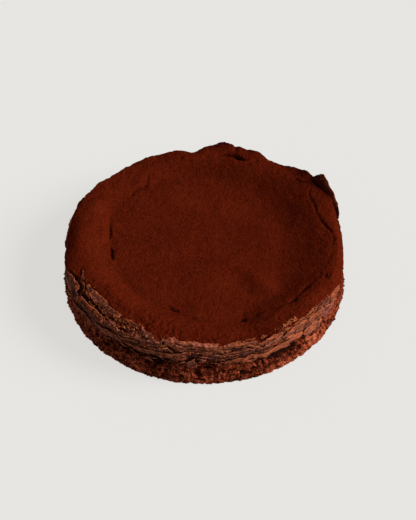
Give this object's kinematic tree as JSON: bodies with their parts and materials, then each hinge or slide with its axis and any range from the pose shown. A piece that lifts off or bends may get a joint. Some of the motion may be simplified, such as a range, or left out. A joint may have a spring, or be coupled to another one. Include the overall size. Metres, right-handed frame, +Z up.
{
  "type": "twice baked chocolate cake",
  "caption": "Low round chocolate cake on a crumbly base, with a raised flaky rim round a sunken top dusted with cocoa.",
  "frame": {"origin": "on the table, under the middle of the cake, at the middle of its flat underside", "axes": "+Z up, out of the sunken top; +X towards the side with the upright flap of crust, +Y towards the back as first seen"},
  "size_m": [0.231, 0.2309, 0.0512],
  "materials": {
    "crumb": "coarse, dry, matt chocolate crumb with dark pits",
    "cocoa_dusted_crust": "matt cocoa powder on top, and a papery mauve-brown crust with a faint sheen round the side"
  },
  "bodies": {
    "root": {"first_bake": "crumb", "second_bake": "cocoa_dusted_crust"}
  },
  "joints": []
}
